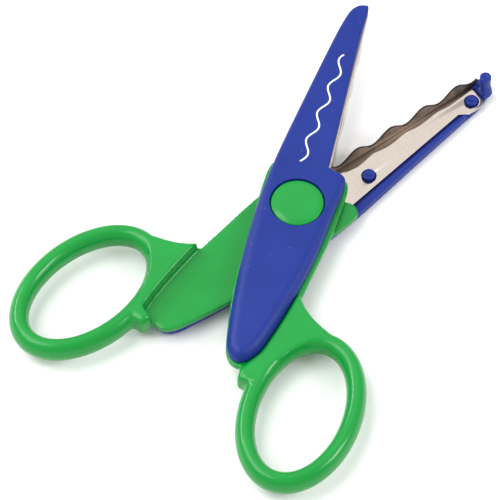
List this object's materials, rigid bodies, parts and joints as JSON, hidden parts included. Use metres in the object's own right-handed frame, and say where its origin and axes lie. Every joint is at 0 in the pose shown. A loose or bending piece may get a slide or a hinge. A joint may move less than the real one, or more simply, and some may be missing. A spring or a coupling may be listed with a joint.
{
  "type": "decorative edge scissors",
  "caption": "Craft scissors with wavy-edged steel blades in plastic covers, finger-ring handles and one pivot; cuts a scalloped paper edge.",
  "frame": {"origin": "on the pivot axis, at the flat outer face of the rear pivot cap, which lies on the table", "axes": "+Y bisects the two blades and points to their tips, +Z runs along the pivot axis from the rear half to the front half, +X is to the right of +Y seen from the front"},
  "size_m": [0.1046, 0.147, 0.0124],
  "materials": {
    "green_plastic": "glossy moulded plastic with a faint ripple",
    "blue_plastic": "satin moulded plastic with a fine texture and small specks",
    "blade_steel": "ground steel with fine cross lines",
    "rivet_steel": "plain zinc-plated steel"
  },
  "bodies": {
    "rear_half": {"rear_cover": "blue_plastic", "rear_handle": "green_plastic", "rear_blade": "blade_steel", "rear_pivot_cap": "green_plastic", "pivot_rivet": "rivet_steel"},
    "front_half": {"front_cover": "blue_plastic", "front_handle": "green_plastic", "front_blade": "blade_steel", "front_pivot_cap": "green_plastic"}
  },
  "joints": [
    {"name": "pivot", "type": "hinge", "parent": "rear_half", "child": "front_half", "pos_m": [0, 0, 0.0062], "axis": [0, 0, 1], "range_deg": [-30.8, 78.8]}
  ]
}
